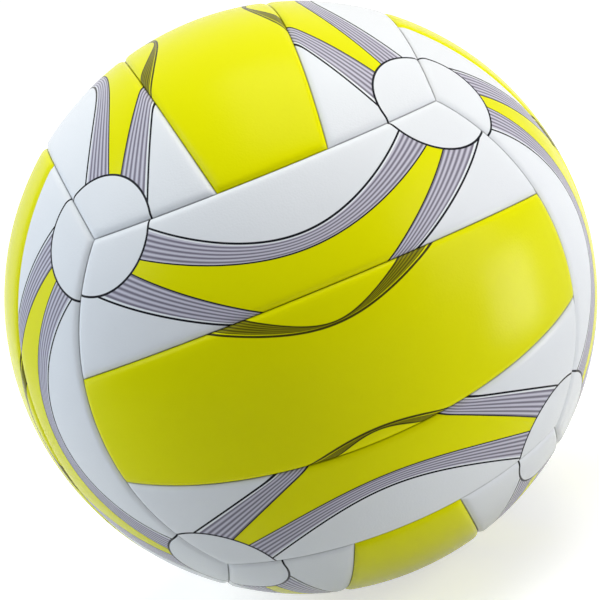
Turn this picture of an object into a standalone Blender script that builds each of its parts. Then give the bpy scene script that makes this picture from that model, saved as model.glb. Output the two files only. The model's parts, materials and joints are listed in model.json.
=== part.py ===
"""A size 5 volleyball of laminated construction.

Eighteen cover panels, each a skin on its own foam pad, are glued to a rubber carcass. Under the carcass
lie the nylon winding and the air bladder, and a needle valve passes through all the layers.

Metres, +Z up. The origin is the centre of the ball. The front face looks along -Y, the valve along +Y.
"""

import math

import bmesh
import bpy
from mathutils import Matrix, Vector

# Overall size
BALL_DIAMETER = 0.2100  # over the crowns of the panels

# Layers, from the outside in
SKIN_THICKNESS = 0.0008
FOAM_THICKNESS = 0.0020
CARCASS_THICKNESS = 0.0005
WINDING_THICKNESS = 0.0005
BLADDER_THICKNESS = 0.0006
GLUE_LINE = 0.0003  # clearance between two layers

# Seams: each is a plane cut through the ball, given by the angle from the middle of its face to the
# middle of the seam, and by the lean of the plane
STRIP_SEAM_ANGLE = math.radians(14.90)  # between two strips of one face
STRIP_SEAM_TILT = math.radians(11.70)
EDGE_SEAM_ANGLE = math.radians(37.45)  # between two faces
SEAM_GAP = 0.0004  # between the edges of two panels
SEAM_DEPTH = 0.0010  # panel edge below the panel's crown
SHOULDER_WIDTH = 0.0030  # band in which a panel rolls down to its edge
ROLL_SHARE = 0.35  # place of the row of points inside that band

# Spans of a panel's grid inside its shoulders
MIDDLE_SPANS = (12, 4)  # along and across the middle strip of a face
SIDE_SPANS = (8, 3)  # along and across a side strip
ROLL_ROWS = 2  # spans across each shoulder

# Valve, on the axis through the middle of the back face
VALVE_NECK_RADIUS = 0.0045
VALVE_CLEARANCE = 0.0003  # between the neck and the holes that it passes
VALVE_SINK = 0.0006  # face of the valve below the crown of its panel
VALVE_LENGTH = 0.0230
VALVE_BEVEL = 0.0004
FLANGE_RADIUS = 0.0140
FLANGE_THICKNESS = 0.0012
NEEDLE_MOUTH_RADIUS = 0.0015
VALVE_LIP = 0.0018  # rubber left at both ends of the plug's chamber
CHAMBER_WALL = 0.0012
CHAMBER_OUTLET_RADIUS = 0.0018
PLUG_CLEARANCE = 0.0003
NEEDLE_DUCT_RADIUS = 0.0006
PLUG_SEAL = 0.0030  # solid end of the plug, which the needle pierces

# Facets of the turned pieces
SHELL_STEPS = 24
SHELL_SPANS = 10
VALVE_STEPS = 24

BALL_RADIUS = BALL_DIAMETER / 2
HALF_GAP_ANGLE = SEAM_GAP / 2 / BALL_RADIUS

# Three edge seams meet in each corner of the cube that the six faces stand for. That fixes their tilt.
CORNER = 1 / math.sqrt(3)
EDGE_SEAM_TILT = math.atan2(math.sin(EDGE_SEAM_ANGLE) - CORNER, math.cos(EDGE_SEAM_ANGLE) - CORNER)

# A cut is the lean of its plane and the angle of the plane's circle from the ball's great circle.
# Panel edges stand half a seam gap off the seams.
STRIP_CUT = STRIP_SEAM_ANGLE - STRIP_SEAM_TILT
EDGE_CUT = EDGE_SEAM_ANGLE - EDGE_SEAM_TILT
END_CUT = EDGE_CUT + HALF_GAP_ANGLE
MIDDLE_CUTS = (
    (-STRIP_SEAM_TILT, HALF_GAP_ANGLE - STRIP_CUT),
    (STRIP_SEAM_TILT, STRIP_CUT - HALF_GAP_ANGLE),
)
SIDE_CUTS = (
    (STRIP_SEAM_TILT, STRIP_CUT + HALF_GAP_ANGLE),
    (EDGE_SEAM_TILT, EDGE_CUT - HALF_GAP_ANGLE),
)

# Faces of the ball: outward axis, axis across the strips, names of the strips on its + and - side
FACES = {
    "front": ((0, -1, 0), (0, 0, 1), "upper", "lower"),
    "back": ((0, 1, 0), (0, 0, 1), "upper", "lower"),
    "top": ((0, 0, 1), (1, 0, 0), "right", "left"),
    "bottom": ((0, 0, -1), (1, 0, 0), "right", "left"),
    "right": ((1, 0, 0), (0, 1, 0), "rear", "front"),
    "left": ((-1, 0, 0), (0, 1, 0), "rear", "front"),
}
VALVE_FACE = "back"
ALONG = Vector((1.0, 0.0, 0.0))

# Colours, linear, with the roughness of each finish
FINISHES = {
    "cover_yellow": ((0.86, 0.86, 0.01), 0.32),
    "cover_white": ((0.82, 0.84, 0.87), 0.32),
    "foam": ((0.80, 0.77, 0.68), 0.90),
    "carcass_rubber": ((0.05, 0.05, 0.05), 0.70),
    "winding_nylon": ((0.72, 0.70, 0.64), 0.55),
    "bladder_butyl": ((0.02, 0.02, 0.02), 0.45),
    "valve_rubber": ((0.03, 0.03, 0.03), 0.55),
    "plug_rubber": ((0.25, 0.24, 0.22), 0.60),
}


def cut_normal(tilt):
    """Normal of a cut across the strips, in the axes of a face: along, across, outward."""
    return Vector((0.0, math.cos(tilt), -math.sin(tilt)))


def end_normal(side):
    """Normal of the cut at one end of a face's strips, which is an edge seam of the next face."""
    return Vector((-side * math.sin(EDGE_SEAM_TILT), 0.0, math.cos(EDGE_SEAM_TILT)))


def end_turn(tilt, angle):
    """Turn along a cut's circle from the middle of the strip to its end."""
    lead = math.cos(angle) * math.cos(EDGE_SEAM_TILT) * math.cos(tilt)
    lean = -math.cos(angle) * math.sin(EDGE_SEAM_TILT)
    level = math.sin(END_CUT) + math.sin(angle) * math.cos(EDGE_SEAM_TILT) * math.sin(tilt)
    return math.atan2(lean, lead) + math.acos(level / math.hypot(lead, lean))


def panel_point(cuts, along, across):
    """Unit vector on a panel, with along and across from 0 to 1 between its edges."""
    (low_tilt, low_angle), (high_tilt, high_angle) = cuts
    tilt = low_tilt + (high_tilt - low_tilt) * across
    angle = low_angle + (high_angle - low_angle) * across
    turn = (2 * along - 1) * end_turn(tilt, angle)
    out = Vector((0.0, math.sin(tilt), math.cos(tilt)))
    round_cut = out * math.cos(turn) + ALONG * math.sin(turn)
    return cut_normal(tilt) * math.sin(angle) + round_cut * math.cos(angle)


def edge_distances(cuts, point):
    """Distances over the ball from a point of a panel to its two long edges and its nearer end."""
    (low_tilt, low_angle), (high_tilt, high_angle) = cuts
    near_end = end_normal(math.copysign(1, point.x))
    angles = [
        math.asin(point.dot(cut_normal(low_tilt))) - low_angle,
        high_angle - math.asin(point.dot(cut_normal(high_tilt))),
        math.asin(point.dot(near_end)) - END_CUT,
    ]
    return [max(angle, 0.0) * BALL_RADIUS for angle in angles]


def skin_radius(cuts, point):
    """Radius of the cover over a point: the ball's radius, rolled down round the panel's edges."""
    height = 1.0
    for distance in edge_distances(cuts, point):
        inward = 1 - min(distance / SHOULDER_WIDTH, 1.0)
        height *= math.sqrt(1 - inward**2)
    return BALL_RADIUS - SEAM_DEPTH * (1 - height)


def grid_places(spans, length):
    """Places from 0 to 1 of a grid's rows: the rolled edge, even spans between shoulders, the edge."""
    shoulder = SHOULDER_WIDTH / length
    roll = [0.0, ROLL_SHARE * shoulder]
    flat = [shoulder + (1 - 2 * shoulder) * i / spans for i in range(spans + 1)]
    return roll + flat + [1 - place for place in reversed(roll)]


def panel_grid(cuts, spans):
    """Places along and across a panel of its rows of points."""
    middle_tilt = (cuts[0][0] + cuts[1][0]) / 2
    middle_angle = (cuts[0][1] + cuts[1][1]) / 2
    length = 2 * end_turn(middle_tilt, middle_angle) * BALL_RADIUS
    first = panel_point(cuts, 0.5, 0.0)
    last = panel_point(cuts, 0.5, 1.0)
    width = first.angle(last) * BALL_RADIUS
    return grid_places(spans[0], length), grid_places(spans[1], width)


def surface_mesh(name, columns, rows, place):
    """Open grid whose points are put where the function place says, facing outward."""
    shape = bmesh.new()
    x_spans = len(columns) - 1
    y_spans = len(rows) - 1
    bmesh.ops.create_grid(shape, x_segments=x_spans, y_segments=y_spans, size=1.0)
    for vertex in shape.verts:
        column = columns[round((vertex.co.x + 1) / 2 * x_spans)]
        row = rows[round((vertex.co.y + 1) / 2 * y_spans)]
        vertex.co = place(column, row)
    mesh = bpy.data.meshes.new(name)
    shape.to_mesh(mesh)
    shape.free()
    mesh.shade_smooth()
    return mesh


def skin_mesh(name, cuts, spans):
    """Outer surface of a cover panel, with its crown and rolled edges."""
    columns, rows = panel_grid(cuts, spans)

    def place(along, across):
        point = panel_point(cuts, along, across)
        return point * skin_radius(cuts, point)

    return surface_mesh(name, columns, rows, place)


def foam_mesh(name, cuts, spans):
    """Outer surface of the pad behind a panel, which ends where the skin rolls down to its edge."""
    columns, rows = panel_grid(cuts, spans)
    columns = columns[ROLL_ROWS:-ROLL_ROWS]
    rows = rows[ROLL_ROWS:-ROLL_ROWS]

    def place(along, across):
        return panel_point(cuts, along, across) * FOAM_RADIUS

    return surface_mesh(name, columns, rows, place)


def facet_sag(cuts, spans):
    """Deepest dip of a pad's flat facets under the round surface that their corners lie on."""
    columns, rows = panel_grid(cuts, spans)
    middle = len(columns) // 2
    corner = panel_point(cuts, columns[middle], rows[ROLL_ROWS])
    opposite = panel_point(cuts, columns[middle + 1], rows[ROLL_ROWS + 1])
    return FOAM_RADIUS * (1 - math.cos(corner.angle(opposite) / 2))


# Radii of the outer faces of the layers under the skin
FOAM_RADIUS = BALL_RADIUS - SKIN_THICKNESS - GLUE_LINE
PAD_SAG = max(facet_sag(MIDDLE_CUTS, MIDDLE_SPANS), facet_sag(SIDE_CUTS, SIDE_SPANS))
CARCASS_RADIUS = FOAM_RADIUS - FOAM_THICKNESS - GLUE_LINE - PAD_SAG
WINDING_RADIUS = CARCASS_RADIUS - CARCASS_THICKNESS - GLUE_LINE
BLADDER_RADIUS = WINDING_RADIUS - WINDING_THICKNESS - GLUE_LINE
VALVE_HOLE_RADIUS = VALVE_NECK_RADIUS + VALVE_CLEARANCE


def clear_scene():
    """Remove the objects that the scene starts with."""
    for item in list(bpy.data.objects):
        bpy.data.objects.remove(item, do_unlink=True)


def new_collection(name):
    """Collection in the scene."""
    collection = bpy.data.collections.new(name)
    bpy.context.scene.collection.children.link(collection)
    return collection


def new_material(name):
    """Principled material in one of the finishes."""
    colour, roughness = FINISHES[name]
    material = bpy.data.materials.new(name)
    material.use_nodes = True
    shader = material.node_tree.nodes["Principled BSDF"]
    shader.inputs["Base Color"].default_value = (*colour, 1.0)
    shader.inputs["Roughness"].default_value = roughness
    shader.inputs["Metallic"].default_value = 0.0
    return material


def new_part(name, mesh, collection, parent, rotation):
    """Object for one sub-part, turned into place about the centre of the ball."""
    part = bpy.data.objects.new(name, mesh)
    part.rotation_euler = rotation.to_euler()
    part.parent = parent
    collection.objects.link(part)
    return part


def add_wall(part, thickness):
    """Wall of a shell, built inward from its outer surface."""
    wall = part.modifiers.new("wall", "SOLIDIFY")
    wall.thickness = thickness
    wall.offset = -1.0
    return wall


def add_turn(part, steps):
    """Full turn of a profile about the part's own Z axis."""
    turn = part.modifiers.new("turn", "SCREW")
    turn.steps = steps
    turn.render_steps = steps
    turn.use_merge_vertices = True
    turn.merge_threshold = 0.00001
    turn.use_smooth_shade = True
    return turn


def profile_mesh(name, points, closed):
    """Profile in the XZ plane, given as radius and height."""
    shape = bmesh.new()
    corners = [shape.verts.new((radius, 0.0, height)) for radius, height in points]
    for first, second in zip(corners, corners[1:]):
        shape.edges.new((first, second))
    if closed:
        shape.edges.new((corners[-1], corners[0]))
    mesh = bpy.data.meshes.new(name)
    shape.to_mesh(mesh)
    shape.free()
    return mesh


def face_rotation(face, half_turn):
    """Rotation from a panel's own axes to its place, turned about the face's middle if asked."""
    normal, across, _, _ = FACES[face]
    outward = Vector(normal)
    upward = Vector(across)
    if half_turn:
        upward = -upward
    along = upward.cross(outward)
    return Matrix((along, upward, outward)).transposed()


def make_panels(parts, parent, materials):
    """Cover panels and their foam pads, face by face. Returns the two that the valve passes."""
    skins = {
        "middle": skin_mesh("middle_skin", MIDDLE_CUTS, MIDDLE_SPANS),
        "side": skin_mesh("side_skin", SIDE_CUTS, SIDE_SPANS),
    }
    pads = {
        "middle": foam_mesh("middle_pad", MIDDLE_CUTS, MIDDLE_SPANS),
        "side": foam_mesh("side_pad", SIDE_CUTS, SIDE_SPANS),
    }
    skins["middle"].materials.append(materials["cover_yellow"])
    skins["side"].materials.append(materials["cover_white"])
    for mesh in pads.values():
        mesh.materials.append(materials["foam"])

    pierced = []
    for face, (_, _, plus_strip, minus_strip) in FACES.items():
        strips = (("middle", "middle", False), (plus_strip, "side", False), (minus_strip, "side", True))
        for strip, shape, half_turn in strips:
            rotation = face_rotation(face, half_turn)
            skin = new_part(f"panel_{face}_{strip}", skins[shape], parts, parent, rotation)
            add_wall(skin, SKIN_THICKNESS)
            pad = new_part(f"foam_{face}_{strip}", pads[shape], parts, parent, rotation)
            add_wall(pad, FOAM_THICKNESS)
            if (face, strip) == (VALVE_FACE, "middle"):
                pierced = [skin, pad]
    return pierced


def shell_profile(radius):
    """Arc of a shell from the rim of its valve hole, past the valve's flange, to the far pole."""
    rim = math.asin(VALVE_HOLE_RADIUS / radius)
    seat = math.asin((FLANGE_RADIUS + VALVE_CLEARANCE) / radius)
    turns = [rim] + [seat + (math.pi - seat) * i / SHELL_SPANS for i in range(SHELL_SPANS)]
    points = [(radius * math.sin(turn), radius * math.cos(turn)) for turn in turns]
    return points + [(0.0, -radius)]


def make_shells(parts, parent, materials):
    """Carcass, winding and bladder, turned about the valve's axis and open where it passes."""
    rotation = face_rotation(VALVE_FACE, False)
    shells = (
        ("carcass", CARCASS_RADIUS, CARCASS_THICKNESS, "carcass_rubber"),
        ("winding", WINDING_RADIUS, WINDING_THICKNESS, "winding_nylon"),
        ("bladder", BLADDER_RADIUS, BLADDER_THICKNESS, "bladder_butyl"),
    )
    for name, radius, thickness, finish in shells:
        mesh = profile_mesh(name, shell_profile(radius), closed=False)
        mesh.materials.append(materials[finish])
        shell = new_part(name, mesh, parts, parent, rotation)
        add_turn(shell, SHELL_STEPS)
        add_wall(shell, thickness)


def valve_housing_profile():
    """Neck, flange under the bladder, barrel, and the stepped bore that holds the plug."""
    top = BALL_RADIUS - VALVE_SINK
    bottom = top - VALVE_LENGTH
    seat_radius = BLADDER_RADIUS - BLADDER_THICKNESS - GLUE_LINE
    seat_top = math.sqrt(seat_radius**2 - VALVE_HOLE_RADIUS**2)
    seat_rim = math.sqrt(seat_radius**2 - FLANGE_RADIUS**2)
    chamber = VALVE_NECK_RADIUS - CHAMBER_WALL
    return [
        (NEEDLE_MOUTH_RADIUS, top - VALVE_BEVEL),
        (NEEDLE_MOUTH_RADIUS + VALVE_BEVEL, top),
        (VALVE_NECK_RADIUS - VALVE_BEVEL, top),
        (VALVE_NECK_RADIUS, top - VALVE_BEVEL),
        (VALVE_NECK_RADIUS, seat_top),
        (FLANGE_RADIUS, seat_rim),
        (FLANGE_RADIUS, seat_rim - FLANGE_THICKNESS / 2),
        (VALVE_NECK_RADIUS + FLANGE_THICKNESS, seat_top - FLANGE_THICKNESS),
        (VALVE_NECK_RADIUS, seat_top - 2 * FLANGE_THICKNESS),
        (VALVE_NECK_RADIUS, bottom + VALVE_BEVEL),
        (VALVE_NECK_RADIUS - VALVE_BEVEL, bottom),
        (CHAMBER_OUTLET_RADIUS, bottom),
        (CHAMBER_OUTLET_RADIUS, bottom + VALVE_LIP),
        (chamber, bottom + VALVE_LIP),
        (chamber, top - VALVE_LIP),
        (NEEDLE_MOUTH_RADIUS, top - VALVE_LIP),
    ]


def valve_plug_profile():
    """Plug in the housing's chamber, with the needle's duct down to its sealing end."""
    top = BALL_RADIUS - VALVE_SINK - VALVE_LIP - PLUG_CLEARANCE
    bottom = BALL_RADIUS - VALVE_SINK - VALVE_LENGTH + VALVE_LIP + PLUG_CLEARANCE
    radius = VALVE_NECK_RADIUS - CHAMBER_WALL - PLUG_CLEARANCE
    duct_end = bottom + PLUG_SEAL
    return [
        (0.0, duct_end),
        (NEEDLE_DUCT_RADIUS, duct_end),
        (NEEDLE_DUCT_RADIUS, top),
        (radius - VALVE_BEVEL, top),
        (radius, top - VALVE_BEVEL),
        (radius, bottom + VALVE_BEVEL),
        (radius - VALVE_BEVEL, bottom),
        (0.0, bottom),
    ]


def make_valve(parts, parent, materials):
    """Valve housing and plug, turned about the valve's axis."""
    rotation = face_rotation(VALVE_FACE, False)
    pieces = (
        ("valve_housing", valve_housing_profile(), True, "valve_rubber"),
        ("valve_plug", valve_plug_profile(), False, "plug_rubber"),
    )
    for name, points, closed, finish in pieces:
        mesh = profile_mesh(name, points, closed)
        mesh.materials.append(materials[finish])
        add_turn(new_part(name, mesh, parts, parent, rotation), VALVE_STEPS)


def cut_valve_hole(pierced, cutters, parent):
    """Round hole for the valve's neck through the panel and the pad on the valve's axis."""
    depth = 4 * (SKIN_THICKNESS + FOAM_THICKNESS)
    shape = bmesh.new()
    bmesh.ops.create_cone(
        shape,
        cap_ends=True,
        segments=VALVE_STEPS,
        radius1=VALVE_HOLE_RADIUS,
        radius2=VALVE_HOLE_RADIUS,
        depth=depth,
        matrix=Matrix.Translation((0.0, 0.0, FOAM_RADIUS)),
    )
    mesh = bpy.data.meshes.new("valve_hole")
    shape.to_mesh(mesh)
    shape.free()
    cutter = new_part("valve_hole_cutter", mesh, cutters, parent, face_rotation(VALVE_FACE, False))
    cutter.hide_render = True
    cutter.display_type = "WIRE"
    for part in pierced:
        cut = part.modifiers.new("valve_hole", "BOOLEAN")
        cut.operation = "DIFFERENCE"
        cut.solver = "EXACT"
        cut.object = cutter


def main():
    """Build the ball."""
    clear_scene()
    parts = new_collection("volleyball")
    cutters = new_collection("cutters")
    centre = bpy.data.objects.new("ball_centre", None)
    parts.objects.link(centre)
    materials = {name: new_material(name) for name in FINISHES}
    pierced = make_panels(parts, centre, materials)
    make_shells(parts, centre, materials)
    make_valve(parts, centre, materials)
    cut_valve_hole(pierced, cutters, centre)


main()
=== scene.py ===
"""Looks of a size 5 volleyball: printed cover panels, valve, inner layers, studio light and camera.

Metres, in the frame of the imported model: the origin is the centre of the ball, +Z is up, the front face
looks along -Y and the valve along +Y.
"""

import json
import math

import bmesh
import bpy
from mathutils import Matrix, Vector, noise

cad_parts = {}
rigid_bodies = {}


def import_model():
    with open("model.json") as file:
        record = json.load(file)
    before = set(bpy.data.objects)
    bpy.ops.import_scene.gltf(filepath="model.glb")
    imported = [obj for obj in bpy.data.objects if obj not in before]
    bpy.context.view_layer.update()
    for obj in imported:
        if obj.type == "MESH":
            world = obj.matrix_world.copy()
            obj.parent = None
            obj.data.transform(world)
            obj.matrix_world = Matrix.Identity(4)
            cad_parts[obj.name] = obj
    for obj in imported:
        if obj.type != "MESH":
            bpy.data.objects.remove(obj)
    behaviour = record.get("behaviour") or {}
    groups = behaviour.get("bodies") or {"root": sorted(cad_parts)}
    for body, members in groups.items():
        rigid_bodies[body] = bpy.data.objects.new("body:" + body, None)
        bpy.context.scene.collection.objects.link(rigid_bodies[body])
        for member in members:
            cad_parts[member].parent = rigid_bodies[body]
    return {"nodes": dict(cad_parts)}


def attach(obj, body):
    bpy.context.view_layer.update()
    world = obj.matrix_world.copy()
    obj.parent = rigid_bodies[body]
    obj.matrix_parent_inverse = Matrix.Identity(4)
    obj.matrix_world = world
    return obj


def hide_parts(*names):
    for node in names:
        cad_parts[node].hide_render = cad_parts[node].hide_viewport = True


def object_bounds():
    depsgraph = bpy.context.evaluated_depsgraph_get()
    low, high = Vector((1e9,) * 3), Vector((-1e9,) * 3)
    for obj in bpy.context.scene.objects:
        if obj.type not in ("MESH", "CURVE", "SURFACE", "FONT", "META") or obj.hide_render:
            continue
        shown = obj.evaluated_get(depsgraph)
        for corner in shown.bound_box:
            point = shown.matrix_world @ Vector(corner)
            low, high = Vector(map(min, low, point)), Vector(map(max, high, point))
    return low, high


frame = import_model()
CAD_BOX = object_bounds()

# Seams, as in the model: each is a plane cut through the ball, given by the angle from the middle of its
# face to the middle of the seam, and by the lean of the plane
BALL_RADIUS = (CAD_BOX[1][2] - CAD_BOX[0][2]) / 2
STRIP_SEAM_ANGLE = math.radians(14.90)
STRIP_SEAM_TILT = math.radians(11.70)
EDGE_SEAM_ANGLE = math.radians(37.45)
SKIN_THICKNESS = 0.0008
PAD_GAP = 0.0002  # between the skin and its foam pad
SEAM_GAP = 0.0001  # panels all but touch
SEAM_DEPTH = 0.0011
SHOULDER_WIDTH = 0.0028
SHOULDER_BEND = 2.4  # power of the rolled edge
SWELL = 0.00005  # slight unevenness of the skin
SWELL_SCALE = 45.0  # its waves in a metre

CORNER = 1 / math.sqrt(3)
EDGE_SEAM_TILT = math.atan2(math.sin(EDGE_SEAM_ANGLE) - CORNER, math.cos(EDGE_SEAM_ANGLE) - CORNER)
HALF_GAP_ANGLE = SEAM_GAP / 2 / BALL_RADIUS
STRIP_CUT = STRIP_SEAM_ANGLE - STRIP_SEAM_TILT
EDGE_CUT = EDGE_SEAM_ANGLE - EDGE_SEAM_TILT
END_CUT = EDGE_CUT + HALF_GAP_ANGLE
MIDDLE_CUTS = (
    (-STRIP_SEAM_TILT, HALF_GAP_ANGLE - STRIP_CUT),
    (STRIP_SEAM_TILT, STRIP_CUT - HALF_GAP_ANGLE),
)
SIDE_CUTS = (
    (STRIP_SEAM_TILT, STRIP_CUT + HALF_GAP_ANGLE),
    (EDGE_SEAM_TILT, EDGE_CUT - HALF_GAP_ANGLE),
)

# Grids of the panels: spans along and across, and the rows of a shoulder as shares of its width
MIDDLE_SPANS = (72, 22)
SIDE_SPANS = (60, 16)
PAD_MIDDLE_SPANS = (36, 11)
PAD_SIDE_SPANS = (30, 8)
SHOULDER_ROWS = (0.0, 0.08, 0.18, 0.30, 0.45, 0.65)

# Faces of the ball: outward axis, axis across the strips, names of the strips on its + and - side
FACES = {
    "front": ((0, -1, 0), (0, 0, 1), "upper", "lower"),
    "back": ((0, 1, 0), (0, 0, 1), "upper", "lower"),
    "top": ((0, 0, 1), (1, 0, 0), "right", "left"),
    "bottom": ((0, 0, -1), (1, 0, 0), "right", "left"),
    "right": ((1, 0, 0), (0, 1, 0), "rear", "front"),
    "left": ((-1, 0, 0), (0, 1, 0), "rear", "front"),
}
ALONG = Vector((1.0, 0.0, 0.0))

# Valve, on the axis through the middle of the back face
VALVE_FACE = "back"
VALVE_HOLE_RADIUS = 0.0048
VALVE_RIM = 0.0007  # band in which the skin rolls down into the hole
VALVE_RIM_DEPTH = 0.0004
VALVE_BLOCK = 0.0100  # half size of the patch whose grid turns from square to round
HOLE_SPANS = 8  # spans of the grid over the hole's radius
RIM_ROWS = (0.08, 0.25, 0.5, 1.0)
BLOCK_ROWS = 5
BLOCK_MARGIN = 0.4  # least distance from the patch to the next line of the even grid, in spans

# Turned pieces of the valve: radius and distance from the ball's centre along their outlines, in millimetres
HOUSING_OUTLINE = (
    (1.5, 102.6),
    (1.5, 104.0),
    (1.9, 104.4),
    (3.0, 104.2),
    (4.1, 104.4),
    (4.5, 104.0),
    (4.5, 98.3),
    (14.0, 97.42),
    (14.0, 96.82),
    (5.7, 97.1),
    (4.5, 95.9),
    (4.5, 81.8),
    (4.1, 81.4),
    (1.8, 81.4),
    (1.8, 83.2),
    (3.3, 83.2),
    (3.3, 102.6),
)
PLUG_OUTLINE = (
    (0.0, 86.5),
    (0.6, 86.5),
    (0.6, 102.3),
    (2.6, 102.3),
    (3.0, 101.9),
    (3.0, 83.9),
    (2.6, 83.5),
    (0.0, 83.5),
)
TURN_STEPS = 96
CORNER_REACH = 0.3  # how far the rounding of a corner goes, in millimetres
CORNER_SHARE = 0.4  # and the most that it takes of a side
CORNER_STEPS = 4
MERGE_DISTANCE = 1e-6
SHARP_ANGLE = math.radians(50)  # edges bent further than this stay sharp

# Print: lines that run along the edges of a face. Each is a hyperbola in degrees: its place across the
# face at the middle, its slope far out and the width of its bend
OUTER_LINE = (25.1, 0.56, 18.0)
OUTER_YELLOW = (22.2, 0.40, 20.0)
INNER_YELLOW = (10.6, 0.58, 7.0)
INNER_LINE = (10.2, 0.44, 13.0)
BOLD_HALF = 0.21  # half widths of the black and the thin dark lines
THIN_HALF = 0.14
BARE_SHARE = 0.06  # bare strip beside a black line, as a share of the striped band
STRIPES = 6  # in each striped band
STRIPE_CONTRAST = 0.6
PATCH_RADIUS = 11.4  # round patch at each corner of the faces
EDGE_BLUR = 0.07  # soft edge of the ink

# Shifts in degrees of the print along, across and towards the middle of a panel, where it misses that of
# its neighbours
PRINT_SLIPS = {
    "front_middle": (0.25, 1.71, 0.0),
    "front_upper": (-0.62, 0.04, 0.0),
    "front_lower": (-1.47, 0.37, 0.0),
    "top_middle": (0.0, -0.90, 1.30),
    "top_left": (1.54, 2.66, 0.0),
    "top_right": (-1.42, 2.26, 0.0),
    "left_middle": (0.60, 1.00, 0.0),
    "left_front": (0.00, 0.50, 0.0),
    "right_middle": (-0.80, -1.60, 0.0),
    "bottom_middle": (0.50, 1.40, 0.0),
    "back_middle": (0.40, -1.20, 0.0),
}
OTHER_SLIP = (0.30, 0.40, 0.0)
PATCH_SHARE = 0.5  # share of the shift along and across that the round patches take, unless listed here
PATCH_SLIPS = {
    "front_upper": (0.25, -0.70, 1.50),
}

# Colours, linear
YELLOW = (0.79, 0.77, 0.000)
WHITE = (0.80, 0.815, 0.84)
INK = (0.012, 0.012, 0.016)
STRIPE_DARK = (0.20, 0.185, 0.235)
STRIPE_PALE = (0.60, 0.58, 0.67)
OLIVE_DARK = (0.09, 0.08, 0.003)
OLIVE_PALE = (0.29, 0.27, 0.005)
INK_ON_YELLOW = (0.05, 0.045, 0.004)

# Vinyl of the cover. Each scale is a count of repeats in a metre
VINYL_GLOSS = 0.05  # specular level
VINYL_ROUGHNESS = (0.21, 0.29)
ROUGHNESS_SCALE = 60.0
VINYL_SHADES = (0.97, 1.03)
SHADE_SCALE = 18.0
GRAIN_SCALE = 1500.0
PORE_SCALE = 420.0
PORE_SHARE = 0.6  # height of the pores against the grain's
GRAIN_STRENGTH = 0.10
GRAIN_DEPTH = 0.0003
SEAM_PAINTED_SHADE = 0.45  # painted shade: colour darkened at the very edge of a panel, where the seam's shade falls
SEAM_PAINTED_SHADE_RISE = 1.6  # and how fast the painted shade fades, in a millimetre

# Other finishes
CLOTH_SCALE = 900.0
RUBBER_GLOSS = 0.4
RUBBER_SPREAD = 0.08  # unevenness of the roughness
THREAD_WAYS = ((1.0, 0.3, 0.2), (-0.4, 0.2, 1.0), (0.3, 1.0, -0.5))  # across the crossing turns
THREAD_TURN = 3000.0  # radians in a metre

# Camera, from the photograph's view of the ball
VIEW_FROM = Vector((-0.07310, -0.96371, 0.25675))
VIEW_DISTANCE = 7.696 * BALL_RADIUS
VIEW_ROLL = math.radians(21.24)
IMAGE_SIZE = 600
BALL_PIXELS = 296.90  # radius of the ball's outline
BALL_PIXEL = (300.81, 297.27)  # middle of the ball's outline
SENSOR = 36.0

# Floor and surroundings
FLOOR_SIZE = 12.0
FLOOR_GREY = 0.70
FLOOR_FADE = (0.15, 0.70)  # distances between which the floor's white rises
FLOOR_WHITE = (0.60, 1.00)
WORLD_TINT = (0.95, 0.97, 1.0)
WORLD_LIGHT = 0.04

# Lamps: way from the ball in the camera's axes, distance, side, level on a facing white surface, tint
LAMPS = {
    "top_lamp": ((0.0, 0.97, 0.22), 1.2, 0.85, 0.73, (1.02, 1.00, 0.92)),
    "right_lamp": ((0.80, 0.386, 0.458), 1.0, 0.6, 0.51, (0.98, 1.00, 1.05)),
    "left_lamp": ((-0.867, 0.394, 0.304), 1.2, 0.8, 0.54, (0.90, 1.00, 1.11)),
    "low_left_lamp": ((-0.984, -0.087, -0.158), 1.2, 0.7, 0.20, (0.90, 1.00, 1.10)),
    "glare_card": ((0.925, 0.024, 0.380), 0.2185, 0.075, 0.45, (1.00, 1.00, 1.00)),
}
ONLY_GLOSS = "glare_card"  # shows in reflections and lights nothing else


def cut_normal(tilt):
    """Normal of a cut across the strips, in the axes of a face: along, across, outward."""
    return Vector((0.0, math.cos(tilt), -math.sin(tilt)))


def end_normal(side):
    """Normal of the cut at one end of a face's strips, which is an edge seam of the next face."""
    return Vector((-side * math.sin(EDGE_SEAM_TILT), 0.0, math.cos(EDGE_SEAM_TILT)))


def end_turn(tilt, angle):
    """Turn along a cut's circle from the middle of the strip to its end."""
    lead = math.cos(angle) * math.cos(EDGE_SEAM_TILT) * math.cos(tilt)
    lean = -math.cos(angle) * math.sin(EDGE_SEAM_TILT)
    level = math.sin(END_CUT) + math.sin(angle) * math.cos(EDGE_SEAM_TILT) * math.sin(tilt)
    return math.atan2(lean, lead) + math.acos(level / math.hypot(lead, lean))


def panel_point(cuts, along, across):
    """Unit vector on a panel, with along and across from 0 to 1 between its edges."""
    (low_tilt, low_angle), (high_tilt, high_angle) = cuts
    tilt = low_tilt + (high_tilt - low_tilt) * across
    angle = low_angle + (high_angle - low_angle) * across
    turn = (2 * along - 1) * end_turn(tilt, angle)
    out = Vector((0.0, math.sin(tilt), math.cos(tilt)))
    round_cut = out * math.cos(turn) + ALONG * math.sin(turn)
    return cut_normal(tilt) * math.sin(angle) + round_cut * math.cos(angle)


def edge_distances(cuts, point):
    """Distances over the ball from a point of a panel to its two long edges and its nearer end."""
    (low_tilt, low_angle), (high_tilt, high_angle) = cuts
    near_end = end_normal(math.copysign(1, point.x))
    angles = [
        math.asin(point.dot(cut_normal(low_tilt))) - low_angle,
        high_angle - math.asin(point.dot(cut_normal(high_tilt))),
        math.asin(point.dot(near_end)) - END_CUT,
    ]
    return [max(angle, 0.0) * BALL_RADIUS for angle in angles]


def roll(distance, width):
    """Height from 0 to 1 of a rolled edge, at a distance from the edge."""
    inward = 1 - min(distance / width, 1.0)
    return 1 - inward**SHOULDER_BEND


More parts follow.
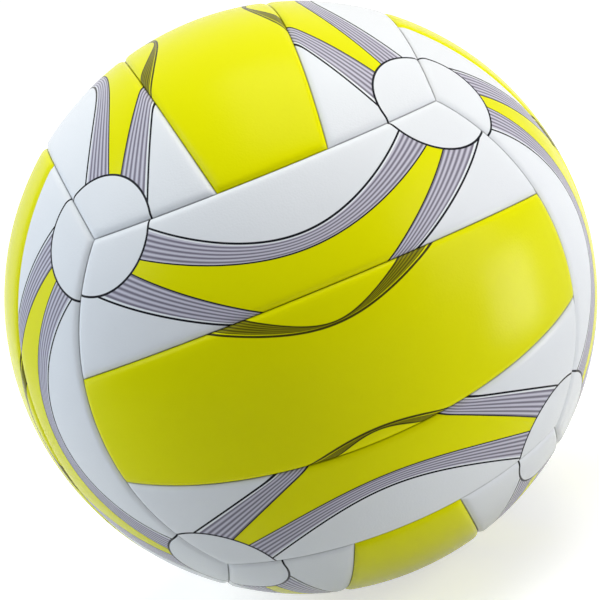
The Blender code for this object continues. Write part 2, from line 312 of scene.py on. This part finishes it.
def panel_size(cuts):
    """Length and width of a panel over its middle."""
    middle_tilt = (cuts[0][0] + cuts[1][0]) / 2
    middle_angle = (cuts[0][1] + cuts[1][1]) / 2
    length = 2 * end_turn(middle_tilt, middle_angle) * BALL_RADIUS
    width = panel_point(cuts, 0.5, 0.0).angle(panel_point(cuts, 0.5, 1.0)) * BALL_RADIUS
    return length, width


def hole_lines():
    """Distances from the valve's axis of the grid lines that make its round hole."""
    inside = [VALVE_HOLE_RADIUS * i / HOLE_SPANS for i in range(1, HOLE_SPANS + 1)]
    rim = [VALVE_HOLE_RADIUS + VALVE_RIM * share for share in RIM_ROWS]
    step = (VALVE_BLOCK - rim[-1]) / BLOCK_ROWS
    return inside + rim + [rim[-1] + step * (i + 1) for i in range(BLOCK_ROWS)]


def grid_places(spans, length, pierced):
    """Places from 0 to 1 of a grid's lines: rolled edges, even spans, and the valve's lines if pierced."""
    shoulder = SHOULDER_WIDTH / length
    places = [shoulder * share for share in SHOULDER_ROWS]
    places += [1 - place for place in places]
    even = [shoulder + (1 - 2 * shoulder) * i / spans for i in range(spans + 1)]
    if pierced:
        clear = VALVE_BLOCK / length + BLOCK_MARGIN / spans
        even = [place for place in even if abs(place - 0.5) > clear]
        lines = hole_lines()
        even += [0.5] + [0.5 + side * line / length for line in lines for side in (1, -1)]
    return sorted(places + even)


def round_off(x, y):
    """Moves a point of the patch round the valve from square rings to round ones."""
    ring = max(abs(x), abs(y))
    if ring == 0 or ring >= VALVE_BLOCK:
        return x, y
    outward = max(ring - VALVE_HOLE_RADIUS, 0.0) / (VALVE_BLOCK - VALVE_HOLE_RADIUS)
    share = outward * outward * (3 - 2 * outward)
    scale = share + (1 - share) * ring / math.hypot(x, y)
    return x * scale, y * scale


def skin_radius(cuts, point, hole_distance):
    """Radius of the cover over a point, rolled down at the panel's edges and at the valve's hole."""
    height = 1.0
    for distance in edge_distances(cuts, point):
        height *= roll(distance, SHOULDER_WIDTH)
    swell = SWELL * (noise.noise(point * BALL_RADIUS * SWELL_SCALE) - 1)
    radius = BALL_RADIUS - SEAM_DEPTH * (1 - height) + swell * height
    if hole_distance is not None:
        radius -= VALVE_RIM_DEPTH * (1 - roll(max(hole_distance, 0.0), VALVE_RIM))
    return radius


def panel_mesh(name, cuts, spans, pierced=False, sunk=0.0, floor=None):
    """Closed mesh of a panel in the axes of its face, with the distance to its edges in millimetres.

    A pad is sunk below the cover's outside and goes down to a floor radius.
    """
    length, width = panel_size(cuts)
    columns = grid_places(spans[0], length, pierced)
    rows = grid_places(spans[1], width, pierced)
    shape = bmesh.new()
    edge = shape.verts.layers.float.new("edge_distance")
    x_spans = len(columns) - 1
    y_spans = len(rows) - 1
    bmesh.ops.create_grid(shape, x_segments=x_spans, y_segments=y_spans, size=1.0)
    inside = []
    for vertex in shape.verts:
        along = columns[round((vertex.co.x + 1) / 2 * x_spans)]
        across = rows[round((vertex.co.y + 1) / 2 * y_spans)]
        hole_distance = None
        if pierced:
            flat = ((along - 0.5) * length, (across - 0.5) * width)
            if max(abs(flat[0]), abs(flat[1])) < VALVE_HOLE_RADIUS * (1 - 0.5 / HOLE_SPANS):
                inside.append(vertex)
            flat = round_off(*flat)
            along = 0.5 + flat[0] / length
            across = 0.5 + flat[1] / width
            hole_distance = math.hypot(*flat) - VALVE_HOLE_RADIUS
        point = panel_point(cuts, along, across)
        vertex.co = point * (skin_radius(cuts, point, hole_distance) - sunk)
        # The distance to the edges also drives the painted shade along the seams
        vertex[edge] = 1000 * min(edge_distances(cuts, point))
    bmesh.ops.delete(shape, geom=inside, context="VERTS")
    close_wall(shape, floor)
    mesh = bpy.data.meshes.new(name)
    shape.to_mesh(mesh)
    shape.free()
    mesh.shade_smooth()
    mesh.set_sharp_from_angle(angle=SHARP_ANGLE)
    return mesh


def close_wall(shape, floor):
    """Closes an open panel with a back face and walls, at the skin's thickness or on a floor radius."""
    front = list(shape.faces)
    grown = bmesh.ops.extrude_face_region(shape, geom=front, use_keep_orig=True)["geom"]
    for item in grown:
        if isinstance(item, bmesh.types.BMVert):
            inside = item.co.length - SKIN_THICKNESS if floor is None else floor
            item.co *= inside / item.co.length
        if isinstance(item, bmesh.types.BMFace):
            item.material_index = 1 if floor is None else 0
    bmesh.ops.recalc_face_normals(shape, faces=shape.faces)


def face_rotation(face, half_turn):
    """Rotation from a panel's own axes to its place, turned about the face's middle if asked."""
    normal, across, _, _ = FACES[face]
    outward = Vector(normal)
    upward = -Vector(across) if half_turn else Vector(across)
    along = upward.cross(outward)
    return Matrix((along, upward, outward)).transposed()


def soften(outline):
    """Rounds the corners of an outline that are off the axis."""
    soft = []
    for i, place in enumerate(outline):
        corner = Vector(place)
        if corner.x == 0:
            soft.append(corner)
            continue
        before = Vector(outline[i - 1]) - corner
        after = Vector(outline[(i + 1) % len(outline)]) - corner
        start = corner + before.normalized() * min(CORNER_REACH, before.length * CORNER_SHARE)
        end = corner + after.normalized() * min(CORNER_REACH, after.length * CORNER_SHARE)
        for step in range(CORNER_STEPS + 1):
            share = step / CORNER_STEPS
            soft.append(start * (1 - share) ** 2 + corner * (2 * share * (1 - share)) + end * share**2)
    return soft


def turned_mesh(name, outline):
    """Outline turned about the axis of its face."""
    shape = bmesh.new()
    points = [shape.verts.new((place.x / 1000, 0.0, place.y / 1000)) for place in soften(outline)]
    pairs = [(points[i - 1], points[i]) for i in range(len(points))]
    edges = [shape.edges.new(pair) for pair in pairs if pair[0].co.x > 0 or pair[1].co.x > 0]
    bmesh.ops.spin(
        shape,
        geom=points + edges,
        cent=(0.0, 0.0, 0.0),
        axis=(0.0, 0.0, 1.0),
        dvec=(0.0, 0.0, 0.0),
        angle=2 * math.pi,
        steps=TURN_STEPS,
        use_merge=True,
    )
    bmesh.ops.remove_doubles(shape, verts=shape.verts, dist=MERGE_DISTANCE)
    bmesh.ops.recalc_face_normals(shape, faces=shape.faces)
    mesh = bpy.data.meshes.new(name)
    shape.to_mesh(mesh)
    shape.free()
    mesh.shade_smooth()
    mesh.set_sharp_from_angle(angle=SHARP_ANGLE)
    return mesh


class Term:
    """Number worked out by shader nodes, so that a formula reads as one."""

    def __init__(self, graph, socket):
        self.graph = graph
        self.socket = socket

    def __add__(self, other):
        return self.graph.math("ADD", self, other)

    def __sub__(self, other):
        return self.graph.math("SUBTRACT", self, other)

    def __mul__(self, other):
        return self.graph.math("MULTIPLY", self, other)

    def __truediv__(self, other):
        return self.graph.math("DIVIDE", self, other)

    def __abs__(self):
        return self.graph.math("ABSOLUTE", self)


class Graph:
    """Node material with one Principled shader."""

    def __init__(self, name, specular):
        self.material = bpy.data.materials.new(name)
        self.material.use_nodes = True
        self.tree = self.material.node_tree
        self.shader = self.tree.nodes["Principled BSDF"]
        self.shader.inputs["Specular IOR Level"].default_value = specular

    def node(self, kind, **settings):
        node = self.tree.nodes.new(kind)
        for name, value in settings.items():
            setattr(node, name, value)
        return node

    def feed(self, socket, value):
        """Links a term or a socket, or sets a constant."""
        if isinstance(value, Term):
            value = value.socket
        if isinstance(value, bpy.types.NodeSocket):
            self.tree.links.new(value, socket)
        elif isinstance(value, tuple) and len(value) == 3 and len(socket.default_value) == 4:
            socket.default_value = (*value, 1.0)
        else:
            socket.default_value = value

    def math(self, operation, *values, clamp=False):
        node = self.node("ShaderNodeMath", operation=operation, use_clamp=clamp)
        for socket, value in zip(node.inputs, values):
            self.feed(socket, value)
        return Term(self, node.outputs[0])

    def vector(self, operation, *values):
        node = self.node("ShaderNodeVectorMath", operation=operation)
        for socket, value in zip(node.inputs, values):
            self.feed(socket, value)
        return node

    def mix(self, share, first, second):
        """Colour between two colours."""
        node = self.node("ShaderNodeMix", data_type="RGBA")
        self.feed(node.inputs["Factor"], share)
        self.feed(node.inputs["A"], first)
        self.feed(node.inputs["B"], second)
        return node.outputs["Result"]

    def place(self):
        """The object's own coordinates."""
        return self.node("ShaderNodeTexCoord").outputs["Object"]

    def noise(self, scale, detail=3.0):
        node = self.node("ShaderNodeTexNoise")
        self.feed(node.inputs["Vector"], self.place())
        node.inputs["Scale"].default_value = scale
        node.inputs["Detail"].default_value = detail
        return Term(self, node.outputs["Fac"])

    def cells(self, scale):
        node = self.node("ShaderNodeTexVoronoi")
        self.feed(node.inputs["Vector"], self.place())
        node.inputs["Scale"].default_value = scale
        return Term(self, node.outputs["Distance"])

    def between(self, term, low, high):
        """Maps a term from 0..1 to low..high."""
        return term * (high - low) + low

    def bump(self, height, strength, distance):
        node = self.node("ShaderNodeBump")
        node.inputs["Strength"].default_value = strength
        node.inputs["Distance"].default_value = distance
        self.feed(node.inputs["Height"], height)
        self.feed(self.shader.inputs["Normal"], node.outputs["Normal"])

    def colour(self, value):
        self.feed(self.shader.inputs["Base Color"], value)

    def roughness(self, value):
        self.feed(self.shader.inputs["Roughness"], value)


def print_line(graph, along, line):
    """Place across the face of a printed line, in degrees."""
    middle, slope, bend = line
    reach = graph.math("SQRT", along * along + bend * bend)
    return reach * slope + (middle - slope * bend)


def inked(graph, distance):
    """1 where a distance in degrees is above 0, with the ink's soft edge."""
    return graph.math("MULTIPLY_ADD", distance, 1 / EDGE_BLUR, 0.5, clamp=True)


def stroke(graph, distance, half):
    """1 within half a stroke's width of a line."""
    return graph.math("MULTIPLY_ADD", abs(distance), -1 / EDGE_BLUR, half / EDGE_BLUR + 0.5, clamp=True)


def striped(graph, across, low, high, dark, pale):
    """Fine stripes that run along a band between two lines."""
    phase = (across - low) / (high - low) * STRIPES
    wave = graph.math("SINE", phase * (2 * math.pi))
    share = graph.math("MULTIPLY_ADD", wave, STRIPE_CONTRAST, 0.5, clamp=True)
    return graph.mix(share, dark, pale)


def print_colour(graph, slip, patch_slip, base, stripe_dark, stripe_pale, ink):
    """Colour of the cover over a face: curved bands along its edges and round patches at its corners."""
    outward = graph.vector("NORMALIZE", graph.place()).outputs["Vector"]
    split = graph.node("ShaderNodeSeparateXYZ")
    graph.feed(split.inputs["Vector"], outward)
    x, y, z = (Term(graph, socket) for socket in split.outputs)
    along = graph.math("ARCTAN2", x, z) * math.degrees(1) + slip[0]
    across = abs(graph.math("ARCSINE", y) * math.degrees(1) + slip[1]) + slip[2]
    outer_line, outer_yellow, inner_yellow, inner_line = (
        print_line(graph, along, line) for line in (OUTER_LINE, OUTER_YELLOW, INNER_YELLOW, INNER_LINE)
    )

    inner_stripes = striped(graph, across, inner_line, inner_yellow, stripe_dark, stripe_pale)
    outer_stripes = striped(graph, across, outer_yellow, outer_line, STRIPE_DARK, STRIPE_PALE)
    inner_bare = (inner_yellow - inner_line) * BARE_SHARE + BOLD_HALF
    outer_bare = (outer_line - outer_yellow) * BARE_SHARE + BOLD_HALF
    colour = graph.mix(inked(graph, across - inner_line - inner_bare), base, inner_stripes)
    colour = graph.mix(inked(graph, across - inner_yellow), colour, YELLOW)
    colour = graph.mix(inked(graph, across - outer_yellow), colour, outer_stripes)
    colour = graph.mix(inked(graph, across - outer_line + outer_bare), colour, WHITE)
    for line, half, tone in (
        (inner_yellow, THIN_HALF, ink),
        (outer_yellow, THIN_HALF, ink),
        (inner_line, BOLD_HALF, ink),
        (outer_line, BOLD_HALF, INK),
    ):
        colour = graph.mix(stroke(graph, across - line, half), colour, tone)

    along_shift, across_shift, inward_shift = (math.radians(shift) for shift in patch_slip)
    moved = graph.vector("ADD", outward, (along_shift, across_shift, 0.0)).outputs["Vector"]
    folded = graph.vector("ABSOLUTE", moved).outputs["Vector"]
    spread = graph.vector("ADD", folded, (inward_shift, 0.0, 0.0)).outputs["Vector"]
    reach = graph.vector("NORMALIZE", spread).outputs["Vector"]
    corner = Term(graph, graph.vector("DOT_PRODUCT", reach, (CORNER, CORNER, CORNER)).outputs["Value"])
    from_patch = graph.math("ARCCOSINE", corner) * math.degrees(1) - PATCH_RADIUS
    colour = graph.mix(inked(graph, from_patch), WHITE, colour)
    return graph.mix(stroke(graph, from_patch, BOLD_HALF), colour, INK)


def cover_material(name, slip, patch_slip, *tones):
    """Printed vinyl with a fine grain, a satin gloss and painted shade along the seams."""
    graph = Graph(name, specular=VINYL_GLOSS)
    colour = print_colour(graph, slip, patch_slip, *tones)
    shade = graph.between(graph.noise(SHADE_SCALE, detail=2.0), *VINYL_SHADES)
    # Painted shade: the colour darkens towards each panel's edge, where the seam valley is shaded
    edge = graph.node("ShaderNodeAttribute", attribute_name="edge_distance")
    from_edge = Term(graph, edge.outputs["Fac"])
    painted_shade = graph.math("MULTIPLY_ADD", from_edge, SEAM_PAINTED_SHADE_RISE, SEAM_PAINTED_SHADE, clamp=True)
    tint = graph.vector("SCALE", colour)
    graph.feed(tint.inputs["Scale"], shade * painted_shade)
    graph.colour(tint.outputs["Vector"])
    grain = graph.cells(GRAIN_SCALE) + graph.noise(PORE_SCALE) * PORE_SHARE
    graph.roughness(graph.between(graph.noise(ROUGHNESS_SCALE, detail=4.0), *VINYL_ROUGHNESS))
    graph.bump(grain, strength=GRAIN_STRENGTH, distance=GRAIN_DEPTH)
    return graph.material


def backing_material():
    """Woven cloth on the back of a panel."""
    graph = Graph("panel_backing", specular=0.2)
    graph.roughness(0.9)
    weave = graph.noise(CLOTH_SCALE, detail=2.0)
    graph.colour(graph.mix(weave, (0.55, 0.54, 0.50), (0.78, 0.77, 0.73)))
    graph.bump(weave, strength=0.3, distance=0.0003)
    return graph.material


def plain_material(name, low, high, scale, roughness, bump, distance):
    """Rubber or foam: a mottled colour, an uneven gloss and a fine relief."""
    graph = Graph(name, specular=RUBBER_GLOSS)
    mottle = graph.noise(scale, detail=5.0)
    graph.colour(graph.mix(mottle, low, high))
    uneven = graph.noise(scale * 0.3)
    graph.roughness(graph.between(uneven, roughness - RUBBER_SPREAD, roughness + RUBBER_SPREAD))
    graph.bump(graph.cells(scale * 2.0), strength=bump, distance=distance)
    return graph.material


def winding_material():
    """Nylon thread wound over the bladder in crossing turns, with painted shade in the grooves between the
    turns.
    """
    graph = Graph("winding_thread", specular=RUBBER_GLOSS)
    graph.roughness(0.5)
    ridges = None
    for way in THREAD_WAYS:
        level = Term(graph, graph.vector("DOT_PRODUCT", graph.place(), way).outputs["Value"])
        ridge = abs(graph.math("SINE", level * THREAD_TURN))
        ridges = ridge if ridges is None else graph.math("MAXIMUM", ridges, ridge)
    # Painted shade: the colour is darker in the grooves between the turns, where the relief is low
    graph.colour(graph.mix(ridges, (0.40, 0.38, 0.33), (0.78, 0.76, 0.70)))
    graph.bump(ridges, strength=0.6, distance=0.0004)
    return graph.material


def place_piece(name, mesh, face, half_turn, node):
    """Puts a fine piece in the place of its solid."""
    piece = bpy.data.objects.new(name, mesh)
    piece.rotation_euler = face_rotation(face, half_turn).to_euler()
    bpy.context.scene.collection.objects.link(piece)
    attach(piece, "root")
    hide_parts(node)
    return piece


def make_cover():
    """Fine cover panels and the foam pads under them."""
    backing = backing_material()
    foam = plain_material("foam_pad", (0.70, 0.67, 0.58), (0.86, 0.83, 0.75), 300.0, 0.85, 0.4, 0.0004)
    plain_pad = frame["nodes"]["foam_front_middle"].data
    floor = min(vertex.co.length for vertex in plain_pad.vertices)
    for face, (_, _, plus_strip, minus_strip) in FACES.items():
        for strip in ("middle", plus_strip, minus_strip):
            name = f"{face}_{strip}"
            half_turn = strip == minus_strip
            pierced = face == VALVE_FACE and strip == "middle"
            if strip == "middle":
                cuts, spans, pad_spans = MIDDLE_CUTS, MIDDLE_SPANS, PAD_MIDDLE_SPANS
                tones = (YELLOW, OLIVE_DARK, OLIVE_PALE, INK_ON_YELLOW)
            else:
                cuts, spans, pad_spans = SIDE_CUTS, SIDE_SPANS, PAD_SIDE_SPANS
                tones = (WHITE, STRIPE_DARK, STRIPE_PALE, INK)

            skin = panel_mesh(f"panel_{name}", cuts, spans, pierced)
            slip = PRINT_SLIPS.get(name, OTHER_SLIP)
            patch_slip = PATCH_SLIPS.get(name, (slip[0] * PATCH_SHARE, slip[1] * PATCH_SHARE, 0.0))
            skin.materials.append(cover_material(f"print_{name}", slip, patch_slip, *tones))
            skin.materials.append(backing)
            panel = place_piece(f"cover_{name}", skin, face, half_turn, f"panel_{name}")

            block = panel_mesh(f"foam_{name}", cuts, pad_spans, pierced, SKIN_THICKNESS + PAD_GAP, floor)
            block.materials.append(foam)
            pad = place_piece(f"pad_{name}", block, face, half_turn, f"foam_{name}")


def make_valve():
    """Fine valve pieces."""
    housing = plain_material(
        "valve_rubber", (0.02, 0.02, 0.02), (0.045, 0.045, 0.045), 700.0, 0.5, 0.15, 0.0001
    )
    plug = plain_material("plug_rubber", (0.20, 0.19, 0.17), (0.30, 0.29, 0.27), 700.0, 0.6, 0.15, 0.0001)
    for node, outline, finish, slot in (
        ("valve_housing", HOUSING_OUTLINE, housing, "valve_rubber"),
        ("valve_plug", PLUG_OUTLINE, plug, "plug_rubber"),
    ):
        mesh = turned_mesh(f"{node}_fine", outline)
        mesh.materials.append(finish)
        place_piece(f"fine_{node}", mesh, VALVE_FACE, False, node)


def dress_inner_layers():
    """Materials of the layers under the pads."""
    carcass = plain_material("carcass", (0.03, 0.03, 0.03), (0.07, 0.07, 0.07), 120.0, 0.65, 0.2, 0.0003)
    bladder = plain_material("bladder", (0.012, 0.012, 0.012), (0.03, 0.03, 0.03), 60.0, 0.45, 0.1, 0.0003)
    for name, finish in (("carcass", carcass), ("winding", winding_material()), ("bladder", bladder)):
        mesh = frame["nodes"][name].data
        mesh.materials.clear()
        mesh.materials.append(finish)


def make_floor():
    """Pale floor that the ball rests on. It is white to the camera and keeps the ball's shadow."""
    bpy.ops.mesh.primitive_plane_add(size=FLOOR_SIZE, location=(0.0, 0.0, CAD_BOX[0][2]))
    floor = bpy.context.object
    floor.name = "floor"
    material = bpy.data.materials.new("floor_white")
    material.use_nodes = True
    tree = material.node_tree
    tree.nodes.clear()
    diffuse = tree.nodes.new("ShaderNodeBsdfDiffuse")
    diffuse.inputs["Color"].default_value = (FLOOR_GREY, FLOOR_GREY, FLOOR_GREY, 1.0)
    glow = tree.nodes.new("ShaderNodeEmission")
    place = tree.nodes.new("ShaderNodeTexCoord")
    far = tree.nodes.new("ShaderNodeVectorMath")
    far.operation = "LENGTH"
    tree.links.new(place.outputs["Object"], far.inputs[0])
    fade = tree.nodes.new("ShaderNodeMapRange")
    fade.interpolation_type = "SMOOTHSTEP"
    fade.inputs["From Min"].default_value, fade.inputs["From Max"].default_value = FLOOR_FADE
    fade.inputs["To Min"].default_value, fade.inputs["To Max"].default_value = FLOOR_WHITE
    tree.links.new(far.outputs["Value"], fade.inputs["Value"])
    tree.links.new(seen_directly(tree, fade.outputs["Result"]), glow.inputs["Strength"])
    both = tree.nodes.new("ShaderNodeAddShader")
    tree.links.new(diffuse.outputs[0], both.inputs[0])
    tree.links.new(glow.outputs[0], both.inputs[1])
    out = tree.nodes.new("ShaderNodeOutputMaterial")
    tree.links.new(both.outputs[0], out.inputs["Surface"])
    floor.data.materials.append(material)


def seen_directly(tree, strength):
    """Strength for rays that the camera sends, also by way of a mirror or glass, and 0 for light."""
    path = tree.nodes.new("ShaderNodeLightPath")
    total = None
    for name in ("Is Camera Ray", "Is Glossy Ray", "Is Transmission Ray"):
        if total is None:
            total = path.outputs[name]
            continue
        both = tree.nodes.new("ShaderNodeMath")
        both.operation = "MAXIMUM"
        tree.links.new(total, both.inputs[0])
        tree.links.new(path.outputs[name], both.inputs[1])
        total = both.outputs[0]
    scale = tree.nodes.new("ShaderNodeMath")
    scale.operation = "MULTIPLY"
    tree.links.new(total, scale.inputs[0])
    if isinstance(strength, float):
        scale.inputs[1].default_value = strength
    else:
        tree.links.new(strength, scale.inputs[1])
    return scale.outputs[0]


def make_world():
    """White surroundings for the eye, and a low even light for the ball."""
    world = bpy.data.worlds.new("studio")
    bpy.context.scene.world = world
    world.use_nodes = True
    tree = world.node_tree
    tree.nodes.clear()
    light = tree.nodes.new("ShaderNodeBackground")
    light.inputs["Color"].default_value = (*WORLD_TINT, 1.0)
    light.inputs["Strength"].default_value = WORLD_LIGHT
    white = tree.nodes.new("ShaderNodeBackground")
    white.inputs["Color"].default_value = (1.0, 1.0, 1.0, 1.0)
    white.inputs["Strength"].default_value = 1.0
    choose = tree.nodes.new("ShaderNodeMixShader")
    tree.links.new(seen_directly(tree, 1.0), choose.inputs["Fac"])
    tree.links.new(light.outputs[0], choose.inputs[1])
    tree.links.new(white.outputs[0], choose.inputs[2])
    out = tree.nodes.new("ShaderNodeOutputWorld")
    tree.links.new(choose.outputs[0], out.inputs["Surface"])


def view_axes():
    """Right, up and towards-the-viewer directions of the rolled camera."""
    toward = VIEW_FROM.normalized()
    level_right = Vector((0.0, 0.0, 1.0)).cross(toward).normalized()
    level_up = toward.cross(level_right)
    up = level_up * math.cos(VIEW_ROLL) + level_right * math.sin(VIEW_ROLL)
    return up.cross(toward), up, toward


def make_lamp(name, way, distance, size, level, tint):
    """Square soft lamp that faces the ball."""
    right, up, toward = view_axes()
    direction = (right * way[0] + up * way[1] + toward * way[2]).normalized()
    data = bpy.data.lights.new(name, "AREA")
    data.shape = "SQUARE"
    data.size = size
    data.color = tint
    data.energy = level * (math.pi * distance) ** 2
    lamp = bpy.data.objects.new(name, data)
    lamp.location = direction * distance
    lamp.rotation_euler = direction.to_track_quat("Z", "Y").to_euler()
    lamp.visible_camera = False
    lamp.visible_diffuse = name != ONLY_GLOSS
    bpy.context.scene.collection.objects.link(lamp)


def make_camera():
    """Camera at the photograph's angle, with the ball's outline at its place in the picture."""
    right, up, toward = view_axes()
    data = bpy.data.cameras.new("camera")
    outline = math.tan(math.asin(BALL_RADIUS / VIEW_DISTANCE))
    data.sensor_width = SENSOR
    data.lens = BALL_PIXELS / outline / IMAGE_SIZE * SENSOR
    data.shift_x = (IMAGE_SIZE / 2 - BALL_PIXEL[0]) / IMAGE_SIZE
    data.shift_y = (BALL_PIXEL[1] - IMAGE_SIZE / 2) / IMAGE_SIZE
    camera = bpy.data.objects.new("camera", data)
    turn = Matrix((right, up, toward)).transposed().to_4x4()
    camera.matrix_world = Matrix.Translation(toward * VIEW_DISTANCE) @ turn
    bpy.context.scene.collection.objects.link(camera)
    bpy.context.scene.camera = camera


for item in list(bpy.data.objects):
    if item.type in ("CAMERA", "LIGHT") or item.name == "Cube":
        bpy.data.objects.remove(item, do_unlink=True)
make_camera()
make_cover()
make_valve()
dress_inner_layers()
make_floor()
make_world()
for lamp_name, settings in LAMPS.items():
    make_lamp(lamp_name, *settings)
bpy.context.scene.view_settings.view_transform = "Standard"
